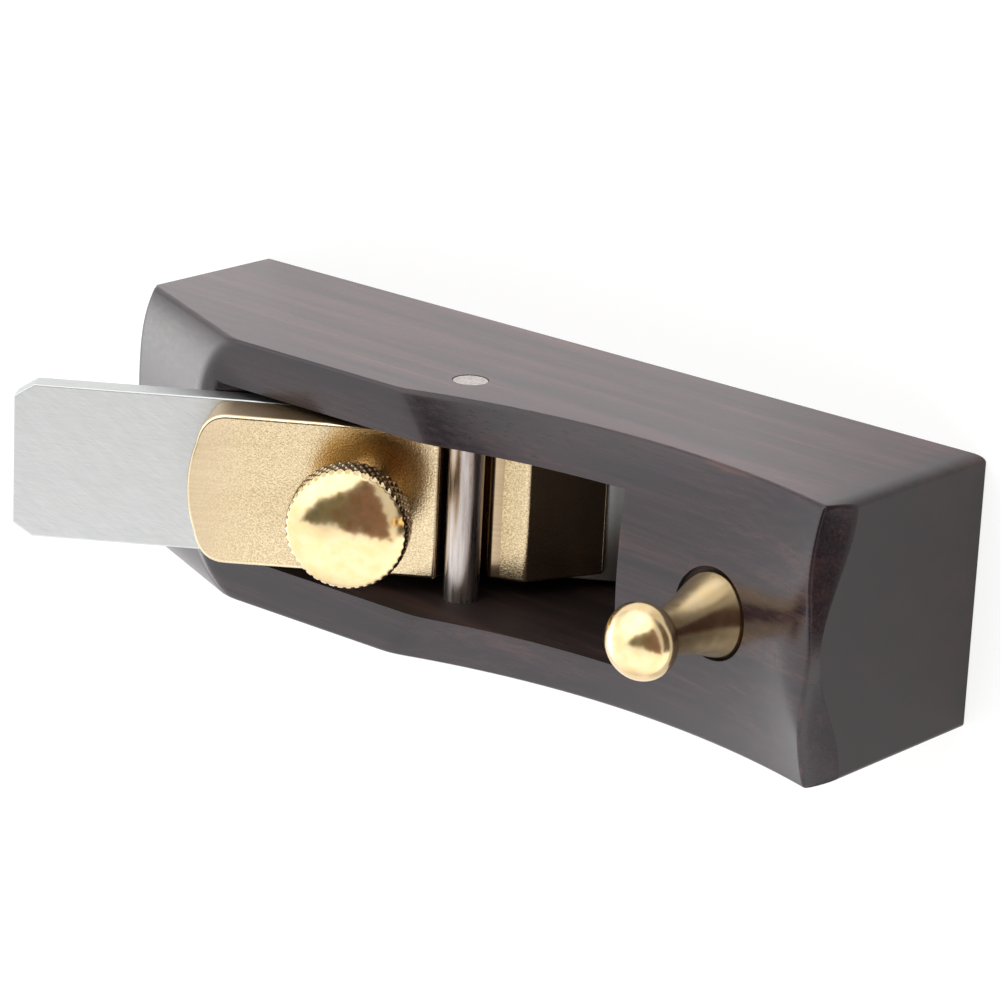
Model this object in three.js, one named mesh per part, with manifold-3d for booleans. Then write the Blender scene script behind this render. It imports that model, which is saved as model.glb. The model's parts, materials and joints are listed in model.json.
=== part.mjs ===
// Mini hand plane: a blackwood stock with an iron held on its bed by a brass lever cap.
// Millimetres, +X towards the toe, +Z up. The origin is the middle of the sole.

import * as THREE from 'three';
import { mergeVertices } from 'three/addons/utils/BufferGeometryUtils.js';
import Module from 'manifold-3d';

const wasm = await Module();
wasm.setup();

// Clearances
const seatGap = 0.3;
const overrun = 5;

// Stock, outside
const stockLength = 104;
const stockWidth = 30.6;
const heelHeight = 19.4;
const heelBevelAngle = THREE.MathUtils.degToRad(23);
const heelCrown = 2.4;
const topHeight = 28.7;
const topCrown = 0.3;
const hollowLowX = 25.5;
const hollowLowHeight = 23;
const hollowRadius = 85;
const hollowCrown = 2.6;
const toeFaceHeight = 27.6;
const toeFaceDrop = 4.8;
const toeChamferAngle = THREE.MathUtils.degToRad(72);
const toeCornerLength = 2;
const toeCornerWidth = 0.7;
const heelCornerRadius = 0.6;

// Stock, bed and throat
const bedAngle = THREE.MathUtils.degToRad(34.5);
const edgeX = 15.7;
const edgeHeight = 0.15;
const throatWidth = 19.8;
const mouthGap = 1.1;
const throatLean = THREE.MathUtils.degToRad(75);

// Iron, measured up the bed from where its face meets the sole
const ironWidth = 18;
const ironThickness = 3;
const ironReach = 78.5;
const ironBevelAngle = THREE.MathUtils.degToRad(27);
const ironClipLength = 2.3;
const ironClipWidth = 1.5;

// Cross pin, measured up the bed and above the iron's face
const pinRadius = 2;
const pinUp = 26.3;
const pinLift = 6.68;
const pinEndInset = 0.05;

// Lever cap, measured the same way
const capTipUp = 11;
const capNose = 0.5;
const capPadLength = 3;
const capRelief = 0.2;
const capRearRelief = 0.5;
const capRearUp = 57.4;
const capRearWidth = 17.3;
const capTipWidth = 16.9;
const capTop = 6.8;
const capEndRadius = 15.5;
const capCornerRadius = 3.6;
const capArris = 0.4;
const capSidePlay = 0.55;
const capRidgeUp = 19.4;
const capRidgeHeight = 5.9;
const capStripeUp = 22.65;
const capStripeHeight = 5.2;
const capLipUp = 23.4;
const capLipHeight = 4.7;
const grooveRadius = 3.1;
const grooveFloorLength = 1.6;

// Thumbscrew, standing square on the cap's top face
const screwUp = 37.9;
const studRadius = 2.5;
const studPointRadius = 1.5;
const studPointLength = 1.2;
const studSocketDepth = 2;
const headRadius = 6.8;
const headLift = 6.8;
const headBand = 3.2;
const headUnderChamfer = 0.4;
const headShoulder = 0.5;
const domeRise = 2;
const knurlCount = 44;
const knurlRows = 4;
const knurlDepth = 0.25;

// Front knob
const knobToeDistance = 14.8;
const knobBallRadius = 4.15;
const knobBallFlattening = 0.78;
const knobBallHeight = 38.1;
const knobNeckRadius = 2.55;
const knobBellRadius = 4.8;
const knobRimHeight = 1.6;
const knobSeatDepth = 1.3;
const tenonRadius = 3;
const tenonLength = 9;

// Smoothness of the curved faces
const roundSteps = 48;
const crownSteps = 14;
const hollowSteps = 16;
const domeSteps = 6;
const shoulderSteps = 3;
const ballSteps = 14;
const heelPower = 4.6;
const topPower = 2;
const bellFlareShare = 0.29;

// Colours and finishes
const ebony = new THREE.MeshStandardMaterial({ color: 0x4a4547, roughness: 0.55, metalness: 0 });
const toolSteel = new THREE.MeshStandardMaterial({ color: 0xc9cbcd, roughness: 0.4, metalness: 1 });
const brightSteel = new THREE.MeshStandardMaterial({ color: 0xd4d2d0, roughness: 0.2, metalness: 1 });
const castBrass = new THREE.MeshStandardMaterial({ color: 0xc9ae74, roughness: 0.45, metalness: 1 });
const polishedBrass = new THREE.MeshStandardMaterial({ color: 0xd9bd7c, roughness: 0.2, metalness: 1 });

// Derived sizes
const heelX = -stockLength / 2;
const toeX = stockLength / 2;
const knobX = toeX - knobToeDistance;
const blockHeight = topHeight + heelCrown + overrun;
const cosBed = Math.cos(bedAngle);
const sinBed = Math.sin(bedAngle);

// A point up the bed and above the iron's face, as a place in the stock's frame
function onBed(up, lift) {
  return { x: edgeX - up * cosBed + lift * sinBed, z: up * sinBed + lift * cosBed };
}

// A closed geometry with its corners welded and without triangles that have no area
function welded(geometry) {
  const bare = geometry.index ? geometry.toNonIndexed() : geometry.clone();
  bare.deleteAttribute('normal');
  bare.deleteAttribute('uv');
  const merged = mergeVertices(bare, 1e-4);
  const index = merged.index.array;
  const kept = [];
  for (let i = 0; i < index.length; i += 3) {
    const [a, b, c] = index.slice(i, i + 3);
    if (a !== b && b !== c && c !== a) kept.push(a, b, c);
  }
  merged.setIndex(kept);
  merged.computeVertexNormals();
  return merged;
}

// Closed three.js geometry to and from the solids that are cut
function toSolid(geometry) {
  const merged = welded(geometry);
  return new wasm.Manifold(new wasm.Mesh({
    numProp: 3,
    vertProperties: new Float32Array(merged.attributes.position.array),
    triVerts: new Uint32Array(merged.index.array),
  }));
}

function toGeometry(solid) {
  const mesh = solid.getMesh();
  const geometry = new THREE.BufferGeometry();
  geometry.setAttribute('position', new THREE.BufferAttribute(mesh.vertProperties, 3));
  geometry.setIndex(new THREE.BufferAttribute(mesh.triVerts, 1));
  geometry.computeVertexNormals();
  return geometry;
}

// A side outline in x and z, extruded across y, centred on the given y
function acrossWidth(shape, width, middleY = 0) {
  const geometry = new THREE.ExtrudeGeometry(shape, {
    depth: width, bevelEnabled: false, curveSegments: roundSteps / 2,
  });
  geometry.rotateX(Math.PI / 2);
  geometry.translate(0, middleY + width / 2, 0);
  return geometry;
}

function outline(points) {
  return new THREE.Shape(points.map(([x, y]) => new THREE.Vector2(x, y)));
}

// A bar of round section lying along y
function crossBar(radius, length, x, z) {
  const geometry = new THREE.CylinderGeometry(radius, radius, length, roundSteps);
  geometry.translate(x, 0, z);
  return geometry;
}

// A turned piece about z, from a profile of radius and height that starts and ends on the axis
function turned(profile, steps = roundSteps) {
  const points = profile.map(([r, z]) => new THREE.Vector2(r, z));
  const geometry = new THREE.LatheGeometry(points, steps);
  geometry.rotateX(Math.PI / 2);
  return welded(geometry);
}

// Everything under a surface of given height, over a rectangle a little larger than the stock
function underSurface(height, stepsX) {
  const reachX = toeX + overrun;
  const reachY = stockWidth / 2;
  const positions = [];
  const indices = [];
  const row = 2 * crownSteps + 1;
  for (const top of [true, false]) {
    for (let i = 0; i <= stepsX; i++) {
      const x = -reachX + 2 * reachX * i / stepsX;
      for (let j = 0; j < row; j++) {
        const share = j / crownSteps - 1;
        const y = share * reachY;
        positions.push(x, j === 0 || j === row - 1 ? y + Math.sign(y) * overrun : y);
        positions.push(top ? height(x, share) : -overrun);
      }
    }
  }
  const layer = (stepsX + 1) * row;
  const quad = (a, b, c, d) => indices.push(a, b, c, a, c, d);
  for (let i = 0; i < stepsX; i++) {
    for (let j = 0; j < row - 1; j++) {
      const a = i * row + j;
      quad(a, a + row, a + row + 1, a + 1);
      quad(layer + a, layer + a + 1, layer + a + row + 1, layer + a + row);
    }
    const near = i * row;
    const far = near + row - 1;
    quad(near, layer + near, layer + near + row, near + row);
    quad(far, far + row, layer + far + row, layer + far);
  }
  for (let j = 0; j < row - 1; j++) {
    const last = stepsX * row + j;
    quad(j, j + 1, layer + j + 1, layer + j);
    quad(last, layer + last, layer + last + 1, last + 1);
  }
  const geometry = new THREE.BufferGeometry();
  geometry.setAttribute('position', new THREE.Float32BufferAttribute(positions, 3));
  geometry.setIndex(indices);
  return toSolid(geometry);
}

// How far a hand-crowned surface stands above its side edges, share running from -1 to 1
function crown(rise, share, power) {
  return rise * (1 - Math.abs(share) ** power);
}

// The stock's top: heel bevel, flat, hollow towards the toe, and toe chamfer
function heelBevelHeight(x, share) {
  return heelHeight + (x - heelX) * Math.tan(heelBevelAngle) + crown(heelCrown, share, heelPower);
}

function flatTopHeight(x, share) {
  return topHeight + crown(topCrown, share, topPower);
}

function hollowHeight(x, share) {
  const away = Math.min(Math.abs(x - hollowLowX), hollowRadius);
  const rise = hollowRadius - Math.sqrt(hollowRadius ** 2 - away ** 2);
  return hollowLowHeight + rise + crown(hollowCrown, share, topPower);
}

function toeChamferHeight(x, share) {
  const edge = toeFaceHeight - toeFaceDrop * (1 - Math.cos(share * Math.PI)) / 2;
  return edge + (toeX - x) * Math.tan(toeChamferAngle);
}

// Plan of the stock, with softened corners
function stockPlan() {
  const half = stockWidth / 2;
  const plan = new THREE.Shape();
  plan.moveTo(heelX + heelCornerRadius, -half);
  plan.lineTo(toeX - toeCornerLength, -half);
  plan.quadraticCurveTo(toeX, -half, toeX, -half + toeCornerWidth);
  plan.lineTo(toeX, half - toeCornerWidth);
  plan.quadraticCurveTo(toeX, half, toeX - toeCornerLength, half);
  plan.lineTo(heelX + heelCornerRadius, half);
  plan.quadraticCurveTo(heelX, half, heelX, half - heelCornerRadius);
  plan.lineTo(heelX, -half + heelCornerRadius);
  plan.quadraticCurveTo(heelX, -half, heelX + heelCornerRadius, -half);
  return plan;
}

// The throat: bed behind, leaning wall in front, open at the top and at the mouth
function throatCut() {
  const bedLift = -(ironThickness + seatGap);
  const footX = edgeX + bedLift / sinBed;
  const lipX = edgeX + mouthGap;
  const bedX = (z) => footX - z / Math.tan(bedAngle);
  const wallX = (z) => lipX + z / Math.tan(throatLean);
  return outline([
    [bedX(-mouthGap), -mouthGap], [wallX(-mouthGap), -mouthGap],
    [wallX(blockHeight), blockHeight], [bedX(blockHeight), blockHeight],
  ]);
}

// Height of the finished top at the knob
const knobDeckHeight = hollowHeight(knobX, 0);
const knobSeatHeight = knobDeckHeight - knobSeatDepth;

function makeStock() {
  const block = new THREE.ExtrudeGeometry(stockPlan(), {
    depth: blockHeight, bevelEnabled: false, curveSegments: 6,
  });
  const pinPlace = onBed(pinUp, pinLift);
  const pinHole = crossBar(pinRadius + seatGap, stockWidth + overrun, pinPlace.x, pinPlace.z);
  const knobHole = turned([
    [0, knobSeatHeight - tenonLength - 2 * seatGap],
    [tenonRadius + seatGap, knobSeatHeight - tenonLength - 2 * seatGap],
    [tenonRadius + seatGap, knobSeatHeight],
    [knobBellRadius + seatGap, knobSeatHeight],
    [knobBellRadius + seatGap, blockHeight],
    [0, blockHeight],
  ]);
  knobHole.translate(knobX, 0, 0);
  return toSolid(block)
    .intersect(underSurface(heelBevelHeight, 1))
    .intersect(underSurface(flatTopHeight, 1))
    .intersect(underSurface(hollowHeight, 2 * hollowSteps))
    .intersect(underSurface(toeChamferHeight, 1))
    .subtract(toSolid(acrossWidth(throatCut(), throatWidth)))
    .subtract(toSolid(pinHole))
    .subtract(toSolid(knobHole));
}

// The iron lies in the bed's frame, where -x is up the bed and z stands off its face
function makeIron() {
  const edgeUp = edgeHeight / sinBed;
  const bevelLength = ironThickness / Math.tan(ironBevelAngle);
  const side = outline([
    [-edgeUp, 0], [-edgeUp - bevelLength, -ironThickness],
    [-ironReach, -ironThickness], [-ironReach, 0],
  ]);
  const half = ironWidth / 2;
  const plan = outline([
    [overrun, -half], [overrun, half],
    [-ironReach + ironClipLength, half], [-ironReach, half - ironClipWidth],
    [-ironReach, -half + ironClipWidth], [-ironReach + ironClipLength, -half],
  ].reverse());
  const planBlock = new THREE.ExtrudeGeometry(plan, {
    depth: ironThickness + 2 * overrun, bevelEnabled: false,
  });
  planBlock.translate(0, 0, -ironThickness - overrun);
  return toSolid(acrossWidth(side, ironWidth + overrun)).intersect(toSolid(planBlock));
}

// Side outline of the lever cap: nose, bevel, ridge, facet, pin groove, flat top and relief
function capSide() {
  const grooveBottom = pinLift - pinRadius - seatGap;
  const grooveMiddle = grooveBottom + grooveRadius;
  const reach = Math.sqrt(grooveRadius ** 2 - (grooveMiddle - capTop) ** 2);
  const side = new THREE.Shape();
  side.moveTo(-capTipUp, seatGap);
  side.lineTo(-capTipUp, seatGap + capNose);
  side.lineTo(-capRidgeUp, capRidgeHeight);
  side.lineTo(-capStripeUp, capStripeHeight);
  side.lineTo(-capLipUp, capLipHeight);
  side.lineTo(-pinUp + grooveFloorLength, grooveBottom);
  side.lineTo(-pinUp, grooveBottom);
  side.absarc(-pinUp, grooveMiddle, grooveRadius,
    -Math.PI / 2, -Math.PI / 2 - Math.acos((grooveMiddle - capTop) / grooveRadius), true);
  side.lineTo(-pinUp - reach, capTop + overrun);
  side.lineTo(-capRearUp - overrun, capTop + overrun);
  side.lineTo(-capRearUp - overrun, seatGap + capRearRelief);
  side.lineTo(-capTipUp - 2 * capPadLength, seatGap + capRelief);
  side.lineTo(-capTipUp - capPadLength, seatGap);
  side.closePath();
  return side;
}

// Plan of the lever cap: it narrows a little towards the nose and its rear end is an arc
function capPlan() {
  const rearHalf = capRearWidth / 2;
  const tipHalf = capTipWidth / 2;
  const sagitta = (y) => capEndRadius - Math.sqrt(capEndRadius ** 2 - y ** 2);
  const turnY = rearHalf - capCornerRadius;
  const turnX = -capRearUp + sagitta(turnY);
  const sideX = -capRearUp + sagitta(turnY) + capCornerRadius;
  const sweep = Math.asin(turnY / capEndRadius);
  const plan = new THREE.Shape();
  plan.moveTo(-capTipUp + overrun, -tipHalf);
  plan.lineTo(-capTipUp + overrun, tipHalf);
  plan.lineTo(sideX, rearHalf);
  plan.quadraticCurveTo(turnX + capCornerRadius * Math.tan(sweep) / 2, rearHalf, turnX, turnY);
  plan.absarc(-capRearUp + capEndRadius, 0, capEndRadius, Math.PI - sweep, Math.PI + sweep, false);
  plan.quadraticCurveTo(turnX + capCornerRadius * Math.tan(sweep) / 2, -rearHalf, sideX, -rearHalf);
  plan.closePath();
  return plan;
}

// A frame for the thumbscrew: z along the screw, its origin where it leaves the cap's top
function placeOnScrewAxis(geometry) {
  geometry.translate(-screwUp, capSidePlay, capTop);
  return geometry;
}

function makeLeverCap() {
  const plan = new THREE.ExtrudeGeometry(capPlan(), {
    depth: capTop - 2 * capArris, bevelEnabled: true, bevelSegments: 2, curveSegments: 12,
    bevelThickness: capArris, bevelSize: capArris, bevelOffset: -capArris,
  });
  plan.translate(0, capSidePlay, capArris);
  const bore = new THREE.CylinderGeometry(
    studRadius + seatGap, studRadius + seatGap, 2 * (capTop + overrun), roundSteps);
  bore.rotateX(Math.PI / 2);
  return toSolid(plan)
    .intersect(toSolid(acrossWidth(capSide(), capRearWidth + overrun, capSidePlay)))
    .subtract(toSolid(placeOnScrewAxis(bore)));
}

// The stud's end stands a seat gap above the iron's face
function makeStud() {
  const foot = seatGap - capTop;
  const top = headLift + studSocketDepth - seatGap;
  return placeOnScrewAxis(turned([
    [0, foot], [studPointRadius, foot], [studPointRadius, foot + studPointLength],
    [studRadius, foot + studPointLength + studRadius - studPointRadius],
    [studRadius, top], [0, top],
  ], roundSteps / 2));
}

// The head: a diamond-knurled band between a chamfered underside and a polished dome
function makeHead() {
  const columns = 2 * knurlCount;
  const socketRadius = studRadius + seatGap;
  const bandTop = headLift + headUnderChamfer + headBand;
  const domeRadius = headRadius - headShoulder;
  const rings = [
    { r: socketRadius, z: headLift + studSocketDepth },
    { r: socketRadius, z: headLift },
    { r: headRadius - headUnderChamfer, z: headLift },
  ];
  for (let k = 0; k <= knurlRows; k++) {
    const z = headLift + headUnderChamfer + headBand * k / knurlRows;
    rings.push({ r: headRadius, z, row: k });
  }
  for (let k = 1; k <= shoulderSteps; k++) {
    const turn = k / shoulderSteps * Math.PI / 2;
    rings.push({
      r: domeRadius + headShoulder * Math.cos(turn), z: bandTop + headShoulder * Math.sin(turn),
    });
  }
  for (let k = 1; k < domeSteps; k++) {
    const share = 1 - k / domeSteps;
    rings.push({ r: domeRadius * share, z: bandTop + headShoulder + domeRise * (1 - share ** 2) });
  }
  const positions = [];
  for (const ring of rings) {
    for (let i = 0; i < columns; i++) {
      const valley = ring.row !== undefined && (i + ring.row) % 2 === 1;
      const r = ring.r - (valley ? knurlDepth : 0);
      const angle = 2 * Math.PI * i / columns;
      positions.push(r * Math.cos(angle), r * Math.sin(angle), ring.z);
    }
  }
  const floor = rings.length * columns;
  positions.push(0, 0, headLift + studSocketDepth);
  positions.push(0, 0, bandTop + headShoulder + domeRise);
  const indices = [];
  for (let i = 0; i < columns; i++) {
    const next = (i + 1) % columns;
    for (let k = 0; k < rings.length - 1; k++) {
      const a = k * columns + i;
      const b = k * columns + next;
      const peakHere = (i + (rings[k].row ?? 0)) % 2 === 0;
      if (peakHere) indices.push(a, b, b + columns, a, b + columns, a + columns);
      else indices.push(a, b, a + columns, b, b + columns, a + columns);
    }
    indices.push(floor, next, i);
    indices.push(floor + 1, floor - columns + i, floor - columns + next);
  }
  const geometry = new THREE.BufferGeometry();
  geometry.setAttribute('position', new THREE.Float32BufferAttribute(positions, 3));
  geometry.setIndex(indices);
  geometry.computeVertexNormals();
  return placeOnScrewAxis(geometry);
}

// Front knob: tenon, bell and ball in one turned piece
function makeKnob() {
  const seat = knobSeatHeight + seatGap;
  const neckAngle = Math.acos(knobNeckRadius / knobBallRadius);
  const ballHalf = knobBallRadius * knobBallFlattening;
  const neckStart = knobBallHeight - ballHalf * Math.sin(neckAngle);
  const rimTop = seat + knobRimHeight;
  const bellRise = neckStart - rimTop;
  const side = new THREE.Path();
  side.moveTo(0, seat - tenonLength);
  side.lineTo(tenonRadius, seat - tenonLength);
  side.lineTo(tenonRadius, seat);
  side.lineTo(knobBellRadius, seat);
  side.lineTo(knobBellRadius, rimTop);
  const bell = new THREE.Path();
  bell.moveTo(knobBellRadius, rimTop);
  bell.bezierCurveTo(knobBellRadius, rimTop,
    knobNeckRadius, rimTop + bellRise * bellFlareShare, knobNeckRadius, neckStart);
  const ball = new THREE.Path();
  ball.absellipse(0, knobBallHeight, knobBallRadius, ballHalf, -neckAngle, Math.PI / 2, false);
  const points = [
    ...side.getPoints(), ...bell.getPoints(ballSteps).slice(1), ...ball.getPoints(ballSteps).slice(1),
  ];
  points[points.length - 1].x = 0;
  const geometry = turned(points.map((p) => [p.x, p.y]));
  geometry.translate(knobX, 0, 0);
  return geometry;
}

function piece(name, geometry, material) {
  const mesh = new THREE.Mesh(geometry, material);
  mesh.name = name;
  return mesh;
}

// The assembly: the clamping parts share a frame that lies on the iron's face
const plane = new THREE.Group();
plane.name = 'mini_hand_plane';

const pinPlace = onBed(pinUp, pinLift);
const crossPin = crossBar(pinRadius, stockWidth - 2 * pinEndInset, pinPlace.x, pinPlace.z);
plane.add(piece('stock', toGeometry(makeStock()), ebony));
plane.add(piece('cross_pin', crossPin, brightSteel));
plane.add(piece('front_knob', makeKnob(), polishedBrass));

const clampFrame = new THREE.Group();
clampFrame.name = 'clamp_frame';
clampFrame.position.x = edgeX;
clampFrame.rotation.y = bedAngle;
clampFrame.add(piece('iron', toGeometry(makeIron()), toolSteel));
clampFrame.add(piece('lever_cap', toGeometry(makeLeverCap()), castBrass));
clampFrame.add(piece('thumbscrew_stud', makeStud(), polishedBrass));
clampFrame.add(piece('thumbscrew_head', makeHead(), polishedBrass));
plane.add(clampFrame);

export default plane;
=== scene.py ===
"""A mini hand plane of dark wood, brass and steel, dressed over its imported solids.

Lengths are written in millimetres and turned to metres where a mesh is finished. The stock lies
along X with the toe at +X, and what clamps the iron is built in the bed's frame, where -X is up
the bed and +Z stands off the iron's face.
"""
import json
import math

import bmesh
import bpy
from mathutils import Matrix, Vector


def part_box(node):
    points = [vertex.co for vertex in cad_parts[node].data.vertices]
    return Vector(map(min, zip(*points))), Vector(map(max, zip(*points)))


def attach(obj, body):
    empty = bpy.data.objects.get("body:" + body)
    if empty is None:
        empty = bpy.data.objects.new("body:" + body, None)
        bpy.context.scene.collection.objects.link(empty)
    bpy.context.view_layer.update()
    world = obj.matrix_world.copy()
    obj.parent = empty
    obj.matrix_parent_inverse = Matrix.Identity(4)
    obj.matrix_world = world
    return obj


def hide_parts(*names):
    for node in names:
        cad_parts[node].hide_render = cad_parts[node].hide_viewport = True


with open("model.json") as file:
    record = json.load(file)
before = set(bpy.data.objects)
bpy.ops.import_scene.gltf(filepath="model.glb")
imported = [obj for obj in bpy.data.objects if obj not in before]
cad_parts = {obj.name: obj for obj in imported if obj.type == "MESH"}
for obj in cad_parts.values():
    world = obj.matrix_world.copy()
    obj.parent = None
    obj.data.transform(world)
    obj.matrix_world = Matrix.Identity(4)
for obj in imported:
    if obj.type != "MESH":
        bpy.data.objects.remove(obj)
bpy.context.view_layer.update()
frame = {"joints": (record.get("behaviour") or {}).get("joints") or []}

MM = 0.001
UPWARDS = Vector((0, 0, 1))
ALONG_Y = Matrix.Rotation(math.pi / 2, 4, "X")
JOINTS = {joint["name"]: joint for joint in frame["joints"]}


def node_box(name):
    """Lowest and highest corner of a node, in millimetres."""
    low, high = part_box(name)
    return low / MM, high / MM


# Places taken from the frame
STOCK_LOW, STOCK_HIGH = node_box("stock")
IRON_LOW, IRON_HIGH = node_box("iron")
PIN_LOW, PIN_HIGH = node_box("cross_pin")
KNOB_LOW, KNOB_HIGH = node_box("front_knob")
UP_BED = Vector(JOINTS["iron_slide"]["axis"])
BED_ANGLE = math.atan2(UP_BED.z, -UP_BED.x)
EDGE_X = IRON_HIGH.x + IRON_LOW.z / math.tan(BED_ANGLE)
BED = Matrix.Translation((EDGE_X, 0, 0)) @ Matrix.Rotation(BED_ANGLE, 4, "Y")
OFF_BED = BED.to_3x3() @ UPWARDS
PIN_RADIUS = (PIN_HIGH.z - PIN_LOW.z) / 2
PIN_CENTRE = (PIN_LOW + PIN_HIGH) / 2
PIN_ON_BED = BED.inverted() @ PIN_CENTRE
PIN_PLACE = Matrix.Translation(PIN_CENTRE) @ ALONG_Y
SCREW_AXIS = Vector(JOINTS["thumbscrew_turn"]["axis"]).normalized()
SCREW_FOOT = Vector(JOINTS["thumbscrew_turn"]["pos_m"]) / MM
SCREW_TURN = UPWARDS.rotation_difference(SCREW_AXIS).to_matrix().to_4x4()
SCREW = Matrix.Translation(SCREW_FOOT) @ SCREW_TURN

# Stock
HEEL_X, TOE_X = STOCK_LOW.x, STOCK_HIGH.x
HALF_WIDTH = STOCK_HIGH.y
HEEL_HEIGHT, HEEL_SLOPE, HEEL_CROWN, HEEL_POWER = 19.4, math.tan(math.radians(23)), 2.4, 4.6
TOP_HEIGHT, TOP_CROWN = 28.7, 0.3
HOLLOW_X, HOLLOW_HEIGHT, HOLLOW_RADIUS, HOLLOW_CROWN = 25.5, 23, 85, 2.6
TOE_HEIGHT, TOE_DROP, TOE_SLOPE = 27.6, 4.8, math.tan(math.radians(72))
TOE_CORNER_LENGTH, TOE_CORNER_WIDTH = 2, 0.7
RIM_ROUND, SOLE_ROUND = 0.35, 0.2
RIDGE_BLEND, TOE_BLEND = 0.6, 0.9
CREASE, TOE_CREASE = math.radians(40), math.radians(8)
TOP_COUNTS, TOP_ROWS, HALVINGS = (28, 20, 36, 8, 8), 48, 40
BED_GAP, THROAT_WIDTH, MOUTH_GAP = 0.3, 19.8, 1.1
THROAT_SLOPE = math.tan(math.radians(75))
PIN_PLAY = 0.02

# Iron
IRON_THICKNESS, IRON_REACH, IRON_ARRIS = 3, 78.5, 0.22
IRON_BEVEL = math.radians(27)
CLIP_LENGTH, CLIP_WIDTH = 2.3, 1.5

# Lever cap, in the bed's frame: places are distances up the bed from the iron's edge
CAP_TOP, CAP_SHIFT, CAP_GAP = 6.8, 0.55, 0.3
CAP_TIP_UP, CAP_NOSE, CAP_PAD = 11, 0.5, 3
CAP_RELIEF, CAP_REAR_RELIEF = 0.2, 0.5
CAP_REAR_UP, CAP_REAR_WIDTH, CAP_TIP_WIDTH = 57.4, 17.3, 16.9
CAP_END_RADIUS, CAP_CORNER = 15.5, 3.6
CAP_RIDGE_UP, CAP_RIDGE_HEIGHT = 19.4, 5.9
CAP_LAND_UP, CAP_LAND_HEIGHT = 22.3, 5.27
CAP_LIP_UP, CAP_LIP_HEIGHT = 23.5, 5.15
CAP_ARRIS, CAP_ARRIS_ANGLE = 0.42, 22
GROOVE_RADIUS, GROOVE_FLOOR = 3.1, 1.6
PIN_ARRIS = 0.12

# Thumbscrew, along its own axis from the cap's top
STUD_RADIUS, STUD_BORE, STUD_CHAMFER, STUD_IN_HEAD = 2.5, 2.6, 1, 1
THREAD_PITCH, THREAD_DEPTH = 0.8, 0.32
HEAD_RADIUS, HEAD_LIFT, HEAD_TOP = 6.8, 6.8, 12.9
HEAD_UNDER, HEAD_SHOULDER, DOME_RADIUS = 0.4, 1, 11.4
KNURL_COUNT, KNURL_DEPTH, KNURL_PITCH, KNURL_STEEPNESS = 44, 0.17, 1.8, 1.6

# Front knob
KNOB_X = (KNOB_LOW.x + KNOB_HIGH.x) / 2
BALL_RADIUS, BALL_FLATTENING = 4.15, 0.78
BALL_DROP = BALL_RADIUS * BALL_FLATTENING
BALL_HEIGHT = KNOB_HIGH.z - BALL_DROP
NECK_RADIUS, BELL_RADIUS, BELL_RIM, BELL_FLARE, BELL_ARRIS = 2.55, 4.65, 0.9, 0.6, 0.2
KNOB_SEAT_DEPTH, KNOB_GAP, KNOB_PLAY, SEAT_DRIFT = 1.3, 0.3, 0.4, -0.35
SEAT_X, SEAT_RADIUS = KNOB_X + SEAT_DRIFT, BELL_RADIUS + KNOB_PLAY

# How far a cutting tool stands past what it cuts
OVERRUN = 6

# How finely the round forms are cut
ROD_STEPS, BORE_STEPS = 96, 64
GROOVE_STEPS, CAP_END_STEPS, CAP_CORNER_STEPS = 24, 32, 12
STUD_STEPS, STUD_ROWS, STEPS_PER_KNURL = 48, 150, 10
BAND_ROWS, SHOULDER_STEPS, DOME_STEPS = 30, 16, 24
KNOB_STEPS, BELL_ROWS, BALL_ROWS = 128, 32, 40
ARRIS_STEPS = 3
# Points nearer than the weld are one point, and a point this near to a face touches it
WELD, TOUCH = 1e-4, 1e-3

# Where a finish, a painted light or a painted shade starts and where it is full, in millimetres from the
# place that its name gives
SIDE_LIGHT_FROM_TOE, END_GRAIN_FROM_TOE = (1.5, 5), (0.3, 0.05)
SHADE_FROM_SIDE, SHADE_FROM_TOE, SHADE_FROM_SEAT = (2, 2.1), (4, 4.1), (0.03, 0.01)
SHADE_FROM_CAP_TIP = (2, -1)
CAST_BEFORE_LAND, CAST_FROM_LIP, CAST_FROM_REAR = 0.1, (1, 1.5), (1, 8)

# Patterns of the finishes: the width of a mark in millimetres, and its scale along the stroke,
# which is under 1 because strokes are drawn out
STREAK_WIDTH, STREAK_STRETCH, STREAK_SHARE = 3.03, 0.035, 0.55
STREAK_TURN = (0, math.radians(1.5), math.radians(2))
FIBRE_WIDTH, PORE_WIDTH, PORE_STRETCH = 0.4545, 0.2222, 0.1
SCRATCH_SLANT, SCRATCH_LEVEL = math.radians(33), math.radians(4)
SLANT_WIDTH, SLANT_STRETCH = 0.1429, 0.05
LEVEL_WIDTH, LEVEL_STRETCH = 0.125, 0.04
ROD_MARK_WIDTH, ROD_MARK_STRETCH = 0.4, 0.06
CAST_GRAIN_WIDTH, FILE_STROKE_WIDTH, FILE_STROKE_STRETCH = 0.2, 0.3333, 0.06
BUFFING_WIDTH, BUFFED, SATIN = 1.25, 0.1, 0.15

# Sockets of a Mix node that mixes colours
FACTOR, FIRST, SECOND, MIXED = 0, 6, 7, 2

# The camera in the photograph's place: its eye, the point that it looks at, its roll and its lens
EYE, LOOKED_AT = Vector((282.9, 144.3, 355.3)), Vector((-2.453, 0, 14.016))
EYE_ROLL = math.radians(-107.478)
LENS, SENSOR_WIDTH, SIGHT_METRES = 151, 36, (0.01, 20)

# Surround: the dim room behind the eye, as three patches of sky given by their corners
ROOM_PATCHES = (
    ((-0.37, -0.16, 0.92), (-0.05, 0.3, 0.95), (0.45, 0.55, 0.7), (0.45, -0.1, 0.9)),
    ((0.3, 0.42, 0.86), (0.55, 0.74, 0.4), (0.86, 0.38, 0.34), (0.92, -0.38, 0.16), (0.7, -0.27, 0.66)),
    ((0.26, -0.09, 0.96), (0.6, -0.31, 0.74), (0.8, 0.1, 0.5), (0.45, 0.55, 0.7)),
)
PATCH_SOFTNESS, CLUTTER_REACH = 0.03, 0.07
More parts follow.
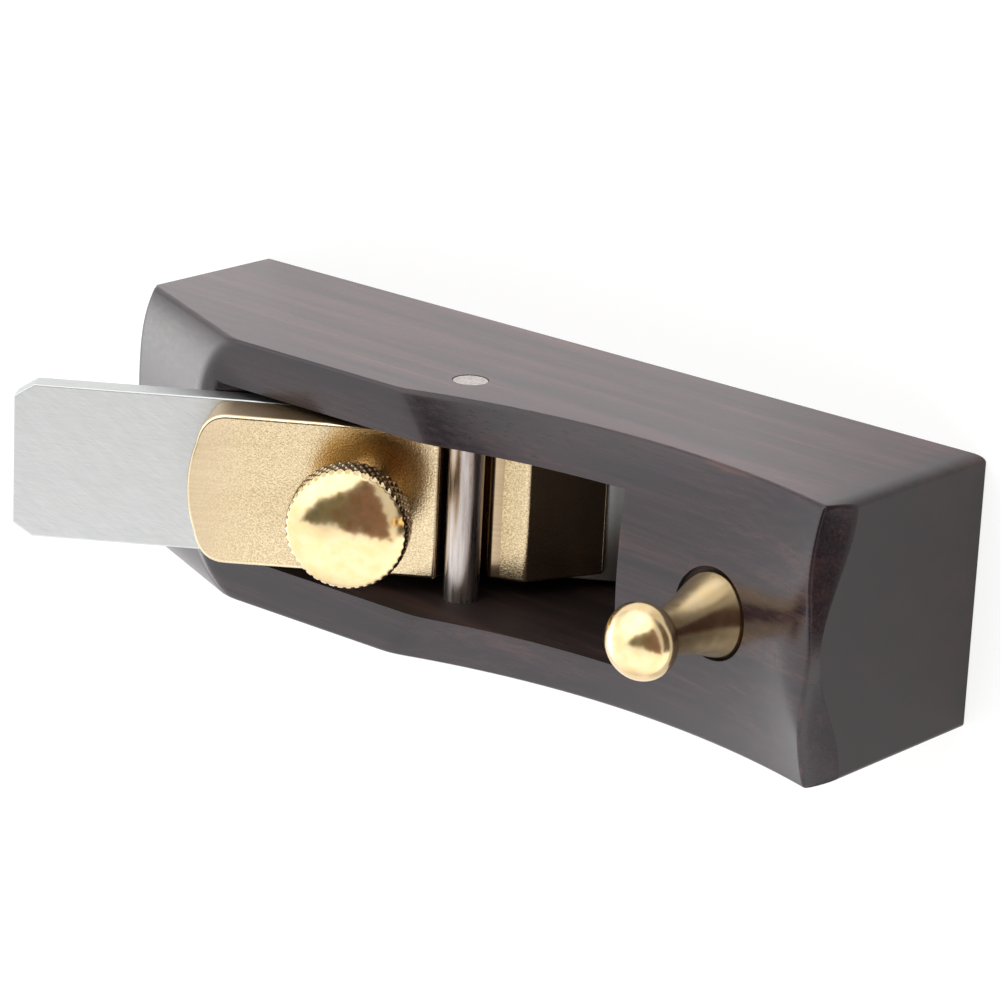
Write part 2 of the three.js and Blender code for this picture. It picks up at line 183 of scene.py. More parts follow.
# Soft lights: direction, half angles in degrees at full strength and where it ends, strength
SOFT_LIGHTS = (
    ((-0.15, 0.75, 0.64), 20, 56, 1.3),
    ((0.5, -0.7, 0.5), 20, 58, 0.8),
    ((-0.75, -0.31, 0.6), 25, 60, 0.75),
    ((-0.98, -0.25, -0.05), 10, 30, 2.3),
)
SKY_LEVEL, NEAR_GROUND = 0.85, (1.8, 1.8, 1.8, 1)

# White paper under the plane: its end, where its mirrored light falls off, and its levels of light
PAPER_END, PAPER_REACH, PAPER_GAP = 115, 3000, 0.02
PAPER_FADE, PAPER_MIRRORED = (20, 50), (0.8, 0.42)
PAPER_SEEN, PAPER_COLOUR = 0.75, (0.3, 0.3, 0.3, 1)


# Colour and shader nodes
def srgb(code):
    """An sRGB hex colour as linear red, green, blue and alpha."""
    values = [int(code[i:i + 2], 16) / 255 for i in (1, 3, 5)]
    return [v / 12.92 if v <= 0.04045 else ((v + 0.055) / 1.055) ** 2.4 for v in values] + [1]


def add(tree, kind, inputs=None, output=0, stops=(), **properties):
    """Adds a node and gives the output that is asked for.

    The inputs name or number sockets and say what each gets: a value, or another node's output,
    which is linked. Stops are a colour ramp's positions and hex colours.
    """
    node = tree.nodes.new("ShaderNode" + kind)
    for name, value in properties.items():
        setattr(node, name, value)
    for name, value in (inputs or {}).items():
        if isinstance(value, bpy.types.NodeSocket):
            tree.links.new(value, node.inputs[name])
        else:
            node.inputs[name].default_value = value
    if stops:
        elements = node.color_ramp.elements
        while len(elements) < len(stops):
            elements.new(0.5)
        for element, (position, code) in zip(elements, stops):
            element.position = position
            element.color = srgb(code)
    return node.outputs[output] if len(node.outputs) else None


def new_material(name):
    """A material with an empty node tree."""
    material = bpy.data.materials.new(name)
    material.use_nodes = True
    material.node_tree.nodes.clear()
    return material, material.node_tree


def placed(tree, scale=(1, 1, 1), turn=(0, 0, 0), start=(0, 0, 0)):
    """Object coordinates in millimetres, moved, turned and then scaled for a pattern."""
    metres = add(tree, "TexCoord", output="Object")
    moved = add(tree, "Mapping", {"Vector": metres, "Location": start, "Scale": (1 / MM,) * 3})
    turned = add(tree, "Mapping", {"Vector": moved, "Rotation": turn})
    return add(tree, "Mapping", {"Vector": turned, "Scale": scale})


def distance_up_bed(tree):
    """How far up the bed a place lies from the iron's edge, in millimetres."""
    from_edge = placed(tree, start=(-EDGE_X, 0, 0))
    return add(tree, "VectorMath", {0: from_edge, 1: UP_BED}, "Value", operation="DOT_PRODUCT")


def facing(tree, direction):
    """How far the surface faces a direction: 1 straight at it, -1 straight away."""
    normal = add(tree, "TexCoord", output="Normal")
    return add(tree, "VectorMath", {0: normal, 1: direction}, "Value", operation="DOT_PRODUCT")


def edge_wear(tree, width):
    """1 on convex edges and 0 on flat faces, from the surface's pointiness."""
    pointed = add(tree, "NewGeometry", output="Pointiness")
    return add(tree, "MapRange", {"Value": pointed, "From Min": 0.5 + width, "From Max": 0.5 + 3 * width})


def recess_shade_mask(tree):
    """1 on the throat's walls and in the knob's seat, where the wood gets painted shade and a duller surface.
    """
    place = placed(tree)
    upright = add(tree, "MapRange", {"Value": facing(tree, UPWARDS), "From Min": 0.65, "From Max": 0.6})
    across = add(tree, "SeparateXYZ", {"Vector": place}, "Y")
    off_middle = add(tree, "Math", {0: across}, operation="ABSOLUTE")
    inside = add(tree, "MapRange", {"Value": off_middle, "From Min": HALF_WIDTH - SHADE_FROM_SIDE[0],
                                    "From Max": HALF_WIDTH - SHADE_FROM_SIDE[1]})
    wall = add(tree, "Math", {0: upright, 1: inside}, operation="MULTIPLY")
    length = add(tree, "SeparateXYZ", {"Vector": place}, "X")
    off_toe = add(tree, "MapRange", {"Value": length, "From Min": TOE_X - SHADE_FROM_TOE[0],
                                     "From Max": TOE_X - SHADE_FROM_TOE[1]})
    wall = add(tree, "Math", {0: wall, 1: off_toe}, operation="MULTIPLY")
    from_seat = placed(tree, scale=(1, 1, 0), start=(-SEAT_X, 0, 0))
    away = add(tree, "VectorMath", {0: from_seat}, "Value", operation="LENGTH")
    seat = add(tree, "MapRange", {"Value": away, "From Min": SEAT_RADIUS + SHADE_FROM_SEAT[0],
                                  "From Max": SEAT_RADIUS + SHADE_FROM_SEAT[1]})
    return add(tree, "Math", {0: wall, 1: seat}, operation="MAXIMUM")


def oiled_ebony():
    """Ebony, planed and oiled: near black with lengthwise red-brown streaks and a clear sheen."""
    material, tree = new_material("oiled_ebony")
    along = placed(tree, scale=(STREAK_STRETCH, 1, 1), turn=STREAK_TURN)
    streaks = add(tree, "TexNoise", {"Vector": along, "Scale": 1 / STREAK_WIDTH, "Detail": 3,
                                     "Roughness": 0.6})
    fibres = add(tree, "TexNoise", {"Vector": along, "Scale": 1 / FIBRE_WIDTH, "Detail": 4,
                                    "Roughness": 0.65})
    broad = add(tree, "Math", {0: streaks, 1: STREAK_SHARE}, operation="MULTIPLY")
    grain = add(tree, "Math", {0: fibres, 1: 1 - STREAK_SHARE, 2: broad}, operation="MULTIPLY_ADD")

    # Painted light: the sides get a lighter, redder copy of the wood's colour, standing in for the light they
    # catch, while the top and the toe's end keep the near-black colour
    dark = add(tree, "ValToRGB", {"Fac": grain}, stops=[
        (0.36, "#191318"), (0.48, "#251b22"), (0.56, "#2f2125"), (0.68, "#432e2f")])
    lit_side_wood = add(tree, "ValToRGB", {"Fac": grain}, stops=[
        (0.36, "#2c1c22"), (0.46, "#40292f"), (0.55, "#563940"), (0.66, "#6f4c4b")])
    side = add(tree, "MapRange", {"Value": facing(tree, UPWARDS), "From Min": 0.7, "From Max": 0.2,
                                  "To Max": 0.9})
    length = add(tree, "SeparateXYZ", {"Vector": placed(tree)}, "X")
    off_toe = add(tree, "MapRange", {"Value": length, "From Min": TOE_X - SIDE_LIGHT_FROM_TOE[0],
                                     "From Max": TOE_X - SIDE_LIGHT_FROM_TOE[1]})
    side = add(tree, "Math", {0: side, 1: off_toe}, operation="MULTIPLY")
    colour = add(tree, "Mix", {FACTOR: side, FIRST: dark, SECOND: lit_side_wood}, MIXED, data_type="RGBA")

    # End grain drinks the oil and shows no streaks
    from_middle = add(tree, "Math", {0: length}, operation="ABSOLUTE")
    ends = add(tree, "MapRange", {"Value": from_middle, "From Min": TOE_X - END_GRAIN_FROM_TOE[0],
                                  "From Max": TOE_X - END_GRAIN_FROM_TOE[1], "To Max": 0.8})
    colour = add(tree, "Mix", {FACTOR: ends, FIRST: colour, SECOND: srgb("#2c2326")}, MIXED, data_type="RGBA")

    # Pores are short dark dashes
    dashes = placed(tree, scale=(PORE_STRETCH, 1, 1))
    pores = add(tree, "TexNoise", {"Vector": dashes, "Scale": 1 / PORE_WIDTH, "Detail": 2})
    pores = add(tree, "MapRange", {"Value": pores, "From Min": 0.62, "From Max": 0.7})
    faint = add(tree, "Math", {0: pores, 1: 0.5}, operation="MULTIPLY")
    colour = add(tree, "Mix", {FACTOR: faint, FIRST: colour, SECOND: srgb("#0e0a0b")}, MIXED,
                 data_type="RGBA")

    # Hands have worn the edges brown in places
    patchy = add(tree, "MapRange", {"Value": streaks, "From Min": 0.4, "From Max": 0.6, "To Min": 0.05,
                                    "To Max": 0.35})
    worn = add(tree, "Math", {0: edge_wear(tree, 0.03), 1: patchy}, operation="MULTIPLY")
    colour = add(tree, "Mix", {FACTOR: worn, FIRST: colour, SECOND: srgb("#6b4238")}, MIXED, data_type="RGBA")

    # Painted shade: the throat's walls and the knob's seat are coloured a darker brown, and they are made
    # duller
    recess_shade = recess_shade_mask(tree)
    shaded_recess_wood = add(tree, "ValToRGB", {"Fac": grain}, stops=[(0.36, "#130d0c"), (0.5, "#231714"),
                                                       (0.62, "#43302a")])
    recess_shade_share = add(tree, "Math", {0: recess_shade, 1: 0.9}, operation="MULTIPLY")
    colour = add(tree, "Mix", {FACTOR: recess_shade_share, FIRST: colour, SECOND: shaded_recess_wood}, MIXED, data_type="RGBA")
    sheen = add(tree, "MapRange", {"Value": fibres, "From Min": 0.3, "From Max": 0.7, "To Min": 0.15,
                                   "To Max": 0.24})
    rough = add(tree, "Math", {0: recess_shade, 1: 0.45, 2: sheen}, operation="MULTIPLY_ADD")

    height = add(tree, "Math", {0: fibres, 1: pores}, operation="SUBTRACT")
    relief = add(tree, "Bump", {"Height": height, "Distance": 0.015 * MM, "Strength": 0.3})
    wood = add(tree, "BsdfPrincipled", {"Base Color": colour, "Roughness": rough, "Normal": relief,
                                        "Specular IOR Level": 0.5})
    add(tree, "OutputMaterial", {"Surface": wood})
    return material


def ground_steel():
    """Tool steel, surface ground: pale grey with fine slanting scratches that catch the light."""
    material, tree = new_material("ground_steel")
    # Real grinding marks are finer: these are drawn an eighth of a millimetre apart so that they show
    slant = placed(tree, scale=(SLANT_STRETCH, 1, 1), turn=(0, -BED_ANGLE, SCRATCH_SLANT))
    level = placed(tree, scale=(LEVEL_STRETCH, 1, 1), turn=(0, -BED_ANGLE, SCRATCH_LEVEL))
    slanting = add(tree, "TexNoise", {"Vector": slant, "Scale": 1 / SLANT_WIDTH, "Detail": 4,
                                      "Roughness": 0.8})
    lengthwise = add(tree, "TexNoise", {"Vector": level, "Scale": 1 / LEVEL_WIDTH, "Detail": 4,
                                        "Roughness": 0.8})
    scratches = add(tree, "Math", {0: slanting, 1: lengthwise}, operation="ADD")
    halved = add(tree, "Math", {0: scratches, 1: 0.5}, operation="MULTIPLY")
    steel = add(tree, "ValToRGB", {"Fac": halved}, stops=[(0.38, "#bfc2c2"), (0.5, "#c8caca"),
                                                          (0.62, "#d1d3d3")])
    # Painted shade: the blade is coloured darker near its edge, below the cap's tip, where it lies in the
    # throat
    up = distance_up_bed(tree)
    painted_edge_shade = add(tree, "MapRange", {"Value": up, "From Min": CAP_TIP_UP + SHADE_FROM_CAP_TIP[0],
                                     "From Max": CAP_TIP_UP + SHADE_FROM_CAP_TIP[1], "To Max": 0.75})
    colour = add(tree, "Mix", {FACTOR: painted_edge_shade, FIRST: steel, SECOND: srgb("#5d5956")}, MIXED,
                 data_type="RGBA")
    rough = add(tree, "MapRange", {"Value": scratches, "From Min": 0.7, "From Max": 1.3, "To Min": 0.42,
                                   "To Max": 0.35})
    relief = add(tree, "Bump", {"Height": scratches, "Distance": 0.004 * MM, "Strength": 0.5})
    blade = add(tree, "BsdfPrincipled", {"Base Color": colour, "Roughness": rough, "Normal": relief,
                                         "Metallic": 1})
    add(tree, "OutputMaterial", {"Surface": blade})
    return material


def turned_steel():
    """Silver steel rod, bright turned: sharp streaks of light along its length."""
    material, tree = new_material("turned_steel")
    lengthwise = placed(tree, scale=(1, ROD_MARK_STRETCH, 1))
    marks = add(tree, "TexNoise", {"Vector": lengthwise, "Scale": 1 / ROD_MARK_WIDTH, "Detail": 3})
    colour = add(tree, "ValToRGB", {"Fac": marks}, stops=[(0.35, "#a89f9b"), (0.65, "#cfc8c4")])
    rough = add(tree, "MapRange", {"Value": marks, "From Min": 0.3, "From Max": 0.7, "To Min": 0.24,
                                   "To Max": 0.34})
    relief = add(tree, "Bump", {"Height": marks, "Distance": 0.01 * MM, "Strength": 0.3})
    rod = add(tree, "BsdfPrincipled", {"Base Color": colour, "Roughness": rough, "Normal": relief,
                                       "Metallic": 1})
    add(tree, "OutputMaterial", {"Surface": rod})
    return material


def blasted_brass():
    """Cast brass, blasted: a pale gold skin of sparkling grains, smooth where a file has been."""
    material, tree = new_material("blasted_brass")
    # Blasting leaves finer grains: these are drawn 0.2 mm across so that they show
    grain = add(tree, "TexNoise", {"Vector": placed(tree), "Scale": 1 / CAST_GRAIN_WIDTH, "Detail": 2,
                                   "Roughness": 0.7})
    stroke = placed(tree, scale=(FILE_STROKE_STRETCH, 1, FILE_STROKE_STRETCH))
    strokes = add(tree, "TexNoise", {"Vector": stroke, "Scale": 1 / FILE_STROKE_WIDTH, "Detail": 3})

    # The cast skin is left on what faces off the bed, and fades out on the filed land and rear end
    outward = facing(tree, OFF_BED)
    top = add(tree, "MapRange", {"Value": outward, "From Min": 0.5, "From Max": 0.7})
    up = distance_up_bed(tree)
    before = add(tree, "MapRange", {"Value": up, "From Min": CAP_LAND_UP,
                                    "From Max": CAP_LAND_UP - CAST_BEFORE_LAND})
    after = add(tree, "MapRange", {"Value": up, "From Min": CAP_LIP_UP + CAST_FROM_LIP[0],
                                   "From Max": CAP_LIP_UP + CAST_FROM_LIP[1]})
    off_land = add(tree, "Math", {0: before, 1: after}, operation="ADD")
    off_rear = add(tree, "MapRange", {"Value": up, "From Min": CAP_REAR_UP - CAST_FROM_REAR[0],
                                      "From Max": CAP_REAR_UP - CAST_FROM_REAR[1], "To Min": 0.15})
    cast = add(tree, "Math", {0: top, 1: off_land}, operation="MULTIPLY")
    cast = add(tree, "Math", {0: cast, 1: off_rear}, operation="MULTIPLY")

    skin = add(tree, "ValToRGB", {"Fac": grain}, stops=[(0.36, "#8a6f48"), (0.48, "#ab916a"),
                                                        (0.6, "#c8b58d")])
    filed = add(tree, "ValToRGB", {"Fac": strokes}, stops=[(0.35, "#90775a"), (0.65, "#a0886a")])
    colour = add(tree, "Mix", {FACTOR: cast, FIRST: filed, SECOND: skin}, MIXED, data_type="RGBA")
    worn = edge_wear(tree, 0.02)
    colour = add(tree, "Mix", {FACTOR: worn, FIRST: colour, SECOND: srgb("#fbeccb")}, MIXED, data_type="RGBA")
    rough = add(tree, "MapRange", {"Value": outward, "From Min": 0.3, "From Max": 0.6, "To Min": 0.45,
                                   "To Max": 0.13})
    height = add(tree, "Math", {0: cast, 1: grain}, operation="MULTIPLY")
    relief = add(tree, "Bump", {"Height": height, "Distance": 0.025 * MM, "Strength": 0.7})
    brass = add(tree, "BsdfPrincipled", {"Base Color": colour, "Roughness": rough, "Normal": relief,
                                         "Metallic": 1})
    add(tree, "OutputMaterial", {"Surface": brass})
    return material


def turned_brass(name, roughness):
    """Turned brass, buffed: a pale yellow mirror, more or less sharp, with a haze of buffing marks."""
    material, tree = new_material(name)
    haze = add(tree, "TexNoise", {"Vector": placed(tree), "Scale": 1 / BUFFING_WIDTH, "Detail": 2})
    colour = add(tree, "ValToRGB", {"Fac": haze}, stops=[(0.3, "#e1c591"), (0.7, "#e7cfa6")])
    rough = add(tree, "MapRange", {"Value": haze, "From Min": 0.3, "From Max": 0.7, "To Min": roughness,
                                   "To Max": roughness * 1.5})
    relief = add(tree, "Bump", {"Height": haze, "Distance": 0.008 * MM, "Strength": 0.6})
    brass = add(tree, "BsdfPrincipled", {"Base Color": colour, "Roughness": rough, "Normal": relief,
                                         "Metallic": 1})
    add(tree, "OutputMaterial", {"Surface": brass})
    return material


# Mesh making
def outline_mesh(points, low, high, lying=False):
    """A closed prism: an outline in x and z drawn across y, or, lying, in x and y drawn up z."""
    mesh = bmesh.new()
    corners = [mesh.verts.new((a, b, low) if lying else (a, low, b)) for a, b in points]
    face = mesh.faces.new(corners)
    moved = bmesh.ops.extrude_face_region(mesh, geom=[face])["geom"]
    step = Vector((0, 0, high - low)) if lying else Vector((0, high - low, 0))
    bmesh.ops.translate(mesh, verts=[v for v in moved if isinstance(v, bmesh.types.BMVert)], vec=step)
    bmesh.ops.recalc_face_normals(mesh, faces=mesh.faces)
    return mesh


def rod_mesh(radius, length, steps=ROD_STEPS):
    """A closed rod along z, standing on its middle."""
    mesh = bmesh.new()
    bmesh.ops.create_cone(mesh, cap_ends=True, segments=steps, radius1=radius, radius2=radius,
                          depth=length)
    return mesh


def turned_mesh(profile, steps):
    """A closed turned form about z, from a profile of (radius, height) that ends on the axis."""
    mesh = bmesh.new()
    corners = [mesh.verts.new((radius, 0, height)) for radius, height in profile]
    edges = [mesh.edges.new(pair) for pair in zip(corners, corners[1:])]
    bmesh.ops.spin(mesh, geom=corners + edges, axis=(0, 0, 1), cent=(0, 0, 0), steps=steps,
                   angle=2 * math.pi, use_merge=True)
    bmesh.ops.remove_doubles(mesh, verts=mesh.verts, dist=WELD)
    bmesh.ops.recalc_face_normals(mesh, faces=mesh.faces)
    return mesh


def finished(name, mesh, place=Matrix.Identity(4)):
    """A mesh in millimetres as an object at the origin in metres, its place in its vertices."""
    bmesh.ops.transform(mesh, matrix=Matrix.Scale(MM, 4) @ place, verts=mesh.verts)
    data = bpy.data.meshes.new(name)
    mesh.to_mesh(data)
    mesh.free()
    piece = bpy.data.objects.new(name, data)
    bpy.context.scene.collection.objects.link(piece)
    return piece


def combine(body, tool, operation="DIFFERENCE"):
    """Cuts body with tool, or keeps what they share, and deletes the tool."""
    modifier = body.modifiers.new("cut", "BOOLEAN")
    modifier.object = tool
    modifier.operation = operation
    modifier.solver = "EXACT"
    graph = bpy.context.evaluated_depsgraph_get()
    data = bpy.data.meshes.new_from_object(body.evaluated_get(graph))
    body.modifiers.clear()
    body.data = data
    bpy.data.objects.remove(tool)


def smooth(piece):
    """Shades every face of a piece smooth."""
    for polygon in piece.data.polygons:
        polygon.use_smooth = True


def keep_flats(piece):
    """Keeps large faces flat between their rounded or sharp edges."""
    weighted = piece.modifiers.new("flat_faces", "WEIGHTED_NORMAL")
    weighted.keep_sharp = True


def soften(piece, width, angle=30):
    """Rounds the edges sharper than an angle in degrees, and keeps flat faces flat."""
    bevel = piece.modifiers.new("arris", "BEVEL")
    bevel.width = width * MM
    bevel.segments = ARRIS_STEPS
    bevel.limit_method = "ANGLE"
    bevel.angle_limit = math.radians(angle)
    bevel.use_clamp_overlap = False
    bevel.miter_outer = "MITER_ARC"
    smooth(piece)
    keep_flats(piece)


def dress(piece, material, node, body):
    """Gives a piece its material, and puts it in a node's place on a body."""
    piece.data.materials.clear()
    piece.data.materials.append(material)
    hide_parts(node)
    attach(piece, body)


def arc(centre_x, centre_z, radius, start, end, steps):
    """Points on an arc between two angles in radians."""
    angles = [start + (end - start) * i / steps for i in range(steps + 1)]
    return [(centre_x + radius * math.cos(a), centre_z + radius * math.sin(a)) for a in angles]


def drawn_curve(controls, steps):
    """Points on the Bezier curve of a few control points."""
    order = len(controls) - 1
    points = []
    for i in range(steps + 1):
        share = i / steps
        weights = [math.comb(order, k) * share ** k * (1 - share) ** (order - k) for k in range(order + 1)]
        points.append(tuple(sum(w * c[axis] for w, c in zip(weights, controls)) for axis in (0, 1)))
    return points


# The stock: heights at a place along it and a share of its half width, from -1 to 1
def heel_height(x, share):
    """The bevel that falls to the heel, crowned across and steep at its sides."""
    return HEEL_HEIGHT + (x - HEEL_X) * HEEL_SLOPE + HEEL_CROWN * (1 - abs(share) ** HEEL_POWER)


def top_height(x, share):
    """The flat beside the iron, the same all along."""
    return TOP_HEIGHT + TOP_CROWN * (1 - share ** 2)


def hollow_height(x, share):
    """The hollow from the throat to the toe, an arc along and a crown across."""
    away = x - HOLLOW_X
    rise = HOLLOW_RADIUS - math.sqrt(HOLLOW_RADIUS ** 2 - away ** 2)
    return HOLLOW_HEIGHT + rise + HOLLOW_CROWN * (1 - share ** 2)


def toe_height(x, share):
    """The chamfer over the toe's face, whose lower edge is crowned."""
    edge = TOE_HEIGHT - TOE_DROP * (1 - math.cos(math.pi * share)) / 2
    return edge + (TOE_X - x) * TOE_SLOPE


def meeting(first, second, share, low, high):
    """Where two surfaces of the stock's top meet on one line along it."""
    for _ in range(HALVINGS):
        middle = (low + high) / 2
        same = (first(low, share) > second(low, share)) == (first(middle, share) > second(middle, share))
        low, high = (middle, high) if same else (low, middle)
    return (low + high) / 2


def half_width(x):
    """Half the stock's width, which draws in on a curve just before the toe."""
    turn = min(1, max(0, 1 - (TOE_X - x) / TOE_CORNER_LENGTH))
    return HALF_WIDTH - TOE_CORNER_WIDTH * (1 - math.sqrt(1 - turn)) ** 2


def blended(first, second, reach):
    """The lower of two heights, with the ridge between them eased over a reach."""
    near = max(0, reach - abs(first - second)) / reach
    return min(first, second) - near ** 2 * reach / 4


def surface_height(x, share):
    """The stock's top: heel bevel, flat, hollow and toe chamfer, rounded at the rim."""
    height = blended(heel_height(x, share), top_height(x, share), RIDGE_BLEND)
    height = blended(height, hollow_height(x, share), RIDGE_BLEND)
    height = blended(height, toe_height(x, share), TOE_BLEND)
    from_side, from_heel = (1 - abs(share)) * HALF_WIDTH, x - HEEL_X
    inside = min(RIM_ROUND, math.hypot(max(0, RIM_ROUND - from_side), max(0, RIM_ROUND - from_heel)))
    return height - RIM_ROUND + math.sqrt(RIM_ROUND ** 2 - inside ** 2)


def top_columns(share):
    """Lengthwise places of the top's grid lines at a share of the width, closest at the ridges."""
    start, corner = HOLLOW_X - HOLLOW_RADIUS / 2, TOE_X - TOE_CORNER_LENGTH
    ends = [HEEL_X, meeting(heel_height, top_height, share, HEEL_X, start),
            meeting(top_height, hollow_height, share, start, HOLLOW_X), corner,
            meeting(hollow_height, toe_height, share, corner, TOE_X), TOE_X]
    places = [HEEL_X]
    for first, last, count in zip(ends, ends[1:], TOP_COUNTS):
        shares = [(1 - math.cos(math.pi * i / count)) / 2 for i in range(1, count + 1)]
        places += [first + (last - first) * part for part in shares]
    return places


def stock_block():
    """The stock without its cuts: its top drawn down to the sole, which has a small bevel."""
    mesh = bmesh.new()
    columns = sum(TOP_COUNTS)
    bmesh.ops.create_grid(mesh, x_segments=columns, y_segments=TOP_ROWS, size=1)
    places = {}
    for vertex in mesh.verts:
        row, column = round((vertex.co.y + 1) / 2 * TOP_ROWS), round((vertex.co.x + 1) / 2 * columns)
        share = math.sin(math.pi * (row / TOP_ROWS - 0.5))
        if row not in places:
            places[row] = top_columns(share)
        x = places[row][column]
        vertex.co = (x, share * half_width(x), surface_height(x, share))
    for height, inset in ((SOLE_ROUND, 0), (0, SOLE_ROUND)):
        rim = [edge for edge in mesh.edges if edge.is_boundary]
        walls = bmesh.ops.extrude_edge_only(mesh, edges=rim)["geom"]
        for vertex in [item for item in walls if isinstance(item, bmesh.types.BMVert)]:
            vertex.co.x *= 1 - inset / TOE_X
            vertex.co.y *= 1 - inset / HALF_WIDTH
            vertex.co.z = height
    bmesh.ops.edgeloop_fill(mesh, edges=[edge for edge in mesh.edges if edge.is_boundary])
    bmesh.ops.recalc_face_normals(mesh, faces=mesh.faces)
    return finished("stock_wood", mesh)


def crease(piece):
    """Keeps the stock's cut edges and the foot of its toe chamfer sharp, and all else smooth."""
    mesh = bmesh.new()
    mesh.from_mesh(piece.data)
    toe_face, leaning = (TOE_X - TOUCH) * MM, math.sin(TOE_CREASE)
    for face in mesh.faces:
        face.smooth = True
    for edge in mesh.edges:
        at_toe = all(vertex.co.x > toe_face for vertex in edge.verts)
        under_chamfer = at_toe and max(face.normal.z for face in edge.link_faces) > leaning
        edge.smooth = edge.calc_face_angle(0) < (TOE_CREASE if under_chamfer else CREASE)
    mesh.to_mesh(piece.data)
    mesh.free()


def stock():
    """The wooden stock: a block under its hand-shaped top, with throat, mouth and holes."""
    piece = stock_block()
    foot_x = EDGE_X - (IRON_THICKNESS + BED_GAP) / math.sin(BED_ANGLE)
    lip_x = EDGE_X + MOUTH_GAP
    high = TOP_HEIGHT + OVERRUN
    bed_slope = math.tan(BED_ANGLE)
    throat = [(foot_x + MOUTH_GAP / bed_slope, -MOUTH_GAP), (lip_x - MOUTH_GAP / THROAT_SLOPE, -MOUTH_GAP),
              (lip_x + high / THROAT_SLOPE, high), (foot_x - high / bed_slope, high)]
    combine(piece, finished("throat", outline_mesh(throat, -THROAT_WIDTH / 2, THROAT_WIDTH / 2)))
    pin_hole = rod_mesh(PIN_RADIUS + PIN_PLAY, 2 * HALF_WIDTH + OVERRUN)
    combine(piece, finished("pin_hole", pin_hole, PIN_PLACE))
    seat = hollow_height(KNOB_X, 0) - KNOB_SEAT_DEPTH
    seat_place = Matrix.Translation((SEAT_X, 0, seat + OVERRUN))
    combine(piece, finished("counterbore", rod_mesh(SEAT_RADIUS, 2 * OVERRUN), seat_place))
    crease(piece)
    keep_flats(piece)
    dress(piece, WOOD, "stock", "stock")


def iron():
    """The iron: a flat ground blade, bevelled underneath, its upper corners clipped."""
    edge_up = IRON_LOW.z / math.sin(BED_ANGLE)
    bevel = IRON_THICKNESS / math.tan(IRON_BEVEL)
    side = [(-edge_up, 0), (-edge_up - bevel, -IRON_THICKNESS), (-IRON_REACH, -IRON_THICKNESS),
            (-IRON_REACH, 0)]
    half, clip_x = IRON_HIGH.y, CLIP_LENGTH - IRON_REACH
    piece = finished("iron_blade", outline_mesh(side, -half, half), BED)
    plan = [(OVERRUN, -half - OVERRUN), (OVERRUN, half + OVERRUN), (clip_x, half + OVERRUN),
            (clip_x, half), (-IRON_REACH, half - CLIP_WIDTH), (-IRON_REACH, CLIP_WIDTH - half),
            (clip_x, -half), (clip_x, -half - OVERRUN)]
    combine(piece, finished("clip", outline_mesh(plan, -OVERRUN, OVERRUN, lying=True), BED), "INTERSECT")
    soften(piece, IRON_ARRIS)
    dress(piece, STEEL, "iron", "iron")


def cap_side():
    """The lever cap's outline from the side: nose, bevel, ridge, facet, groove, top and relief."""
    floor = PIN_ON_BED.z - PIN_RADIUS - CAP_GAP
    middle = floor + GROOVE_RADIUS
    rise = math.acos((middle - CAP_TOP) / GROOVE_RADIUS)
    groove = arc(PIN_ON_BED.x, middle, GROOVE_RADIUS, -math.pi / 2, -math.pi / 2 - rise, GROOVE_STEPS)
    high = CAP_TOP + OVERRUN
    return [(-CAP_TIP_UP, CAP_GAP), (-CAP_TIP_UP, CAP_GAP + CAP_NOSE), (-CAP_RIDGE_UP, CAP_RIDGE_HEIGHT),
            (-CAP_LAND_UP, CAP_LAND_HEIGHT), (-CAP_LIP_UP, CAP_LIP_HEIGHT),
            (PIN_ON_BED.x + GROOVE_FLOOR, floor), *groove, (groove[-1][0], high),
            (-CAP_REAR_UP - OVERRUN, high), (-CAP_REAR_UP - OVERRUN, CAP_GAP + CAP_REAR_RELIEF),
            (-CAP_TIP_UP - 2 * CAP_PAD, CAP_GAP + CAP_RELIEF), (-CAP_TIP_UP - CAP_PAD, CAP_GAP)]


def cap_plan():
    """The lever cap's outline from above: an arc at the rear between two rounded corners."""
    rear, tip = CAP_REAR_WIDTH / 2, CAP_TIP_WIDTH / 2
    turn_y = rear - CAP_CORNER
    sweep = math.asin(turn_y / CAP_END_RADIUS)
    end = arc(CAP_END_RADIUS - CAP_REAR_UP, 0, CAP_END_RADIUS, math.pi - sweep, math.pi + sweep,
              CAP_END_STEPS)
    turn_x = end[0][0]
    corner = drawn_curve([(turn_x + CAP_CORNER, rear), (turn_x + CAP_CORNER * math.tan(sweep) / 2, rear),
                          (turn_x, turn_y)], CAP_CORNER_STEPS)
    mirrored = [(x, -y) for x, y in reversed(corner)]
    points = [(OVERRUN - CAP_TIP_UP, -tip), (OVERRUN - CAP_TIP_UP, tip), *corner[:-1], *end, *mirrored[1:]]
    return [(x, y + CAP_SHIFT) for x, y in points]


def lever_cap():
    """The brass lever cap: a blasted casting, grooved for the pin, with a two-step front bevel."""
    half = CAP_REAR_WIDTH / 2 + OVERRUN
    piece = finished("lever_cap_brass", outline_mesh(cap_side(), -half, half), BED)
    plan = finished("cap_plan", outline_mesh(cap_plan(), 0, CAP_TOP, lying=True), BED)
    combine(piece, plan, "INTERSECT")
    combine(piece, finished("screw_bore", rod_mesh(STUD_BORE, 4 * OVERRUN, BORE_STEPS), SCREW))
    soften(piece, CAP_ARRIS, CAP_ARRIS_ANGLE)
    dress(piece, CAST_BRASS, "lever_cap", "lever_cap")


def cross_pin():
    """The steel pin, its ends dressed flush with the stock's sides."""
    piece = finished("pin_rod", rod_mesh(PIN_RADIUS, PIN_HIGH.y - PIN_LOW.y), PIN_PLACE)
    soften(piece, PIN_ARRIS)
    dress(piece, PIN_STEEL, "cross_pin", "stock")


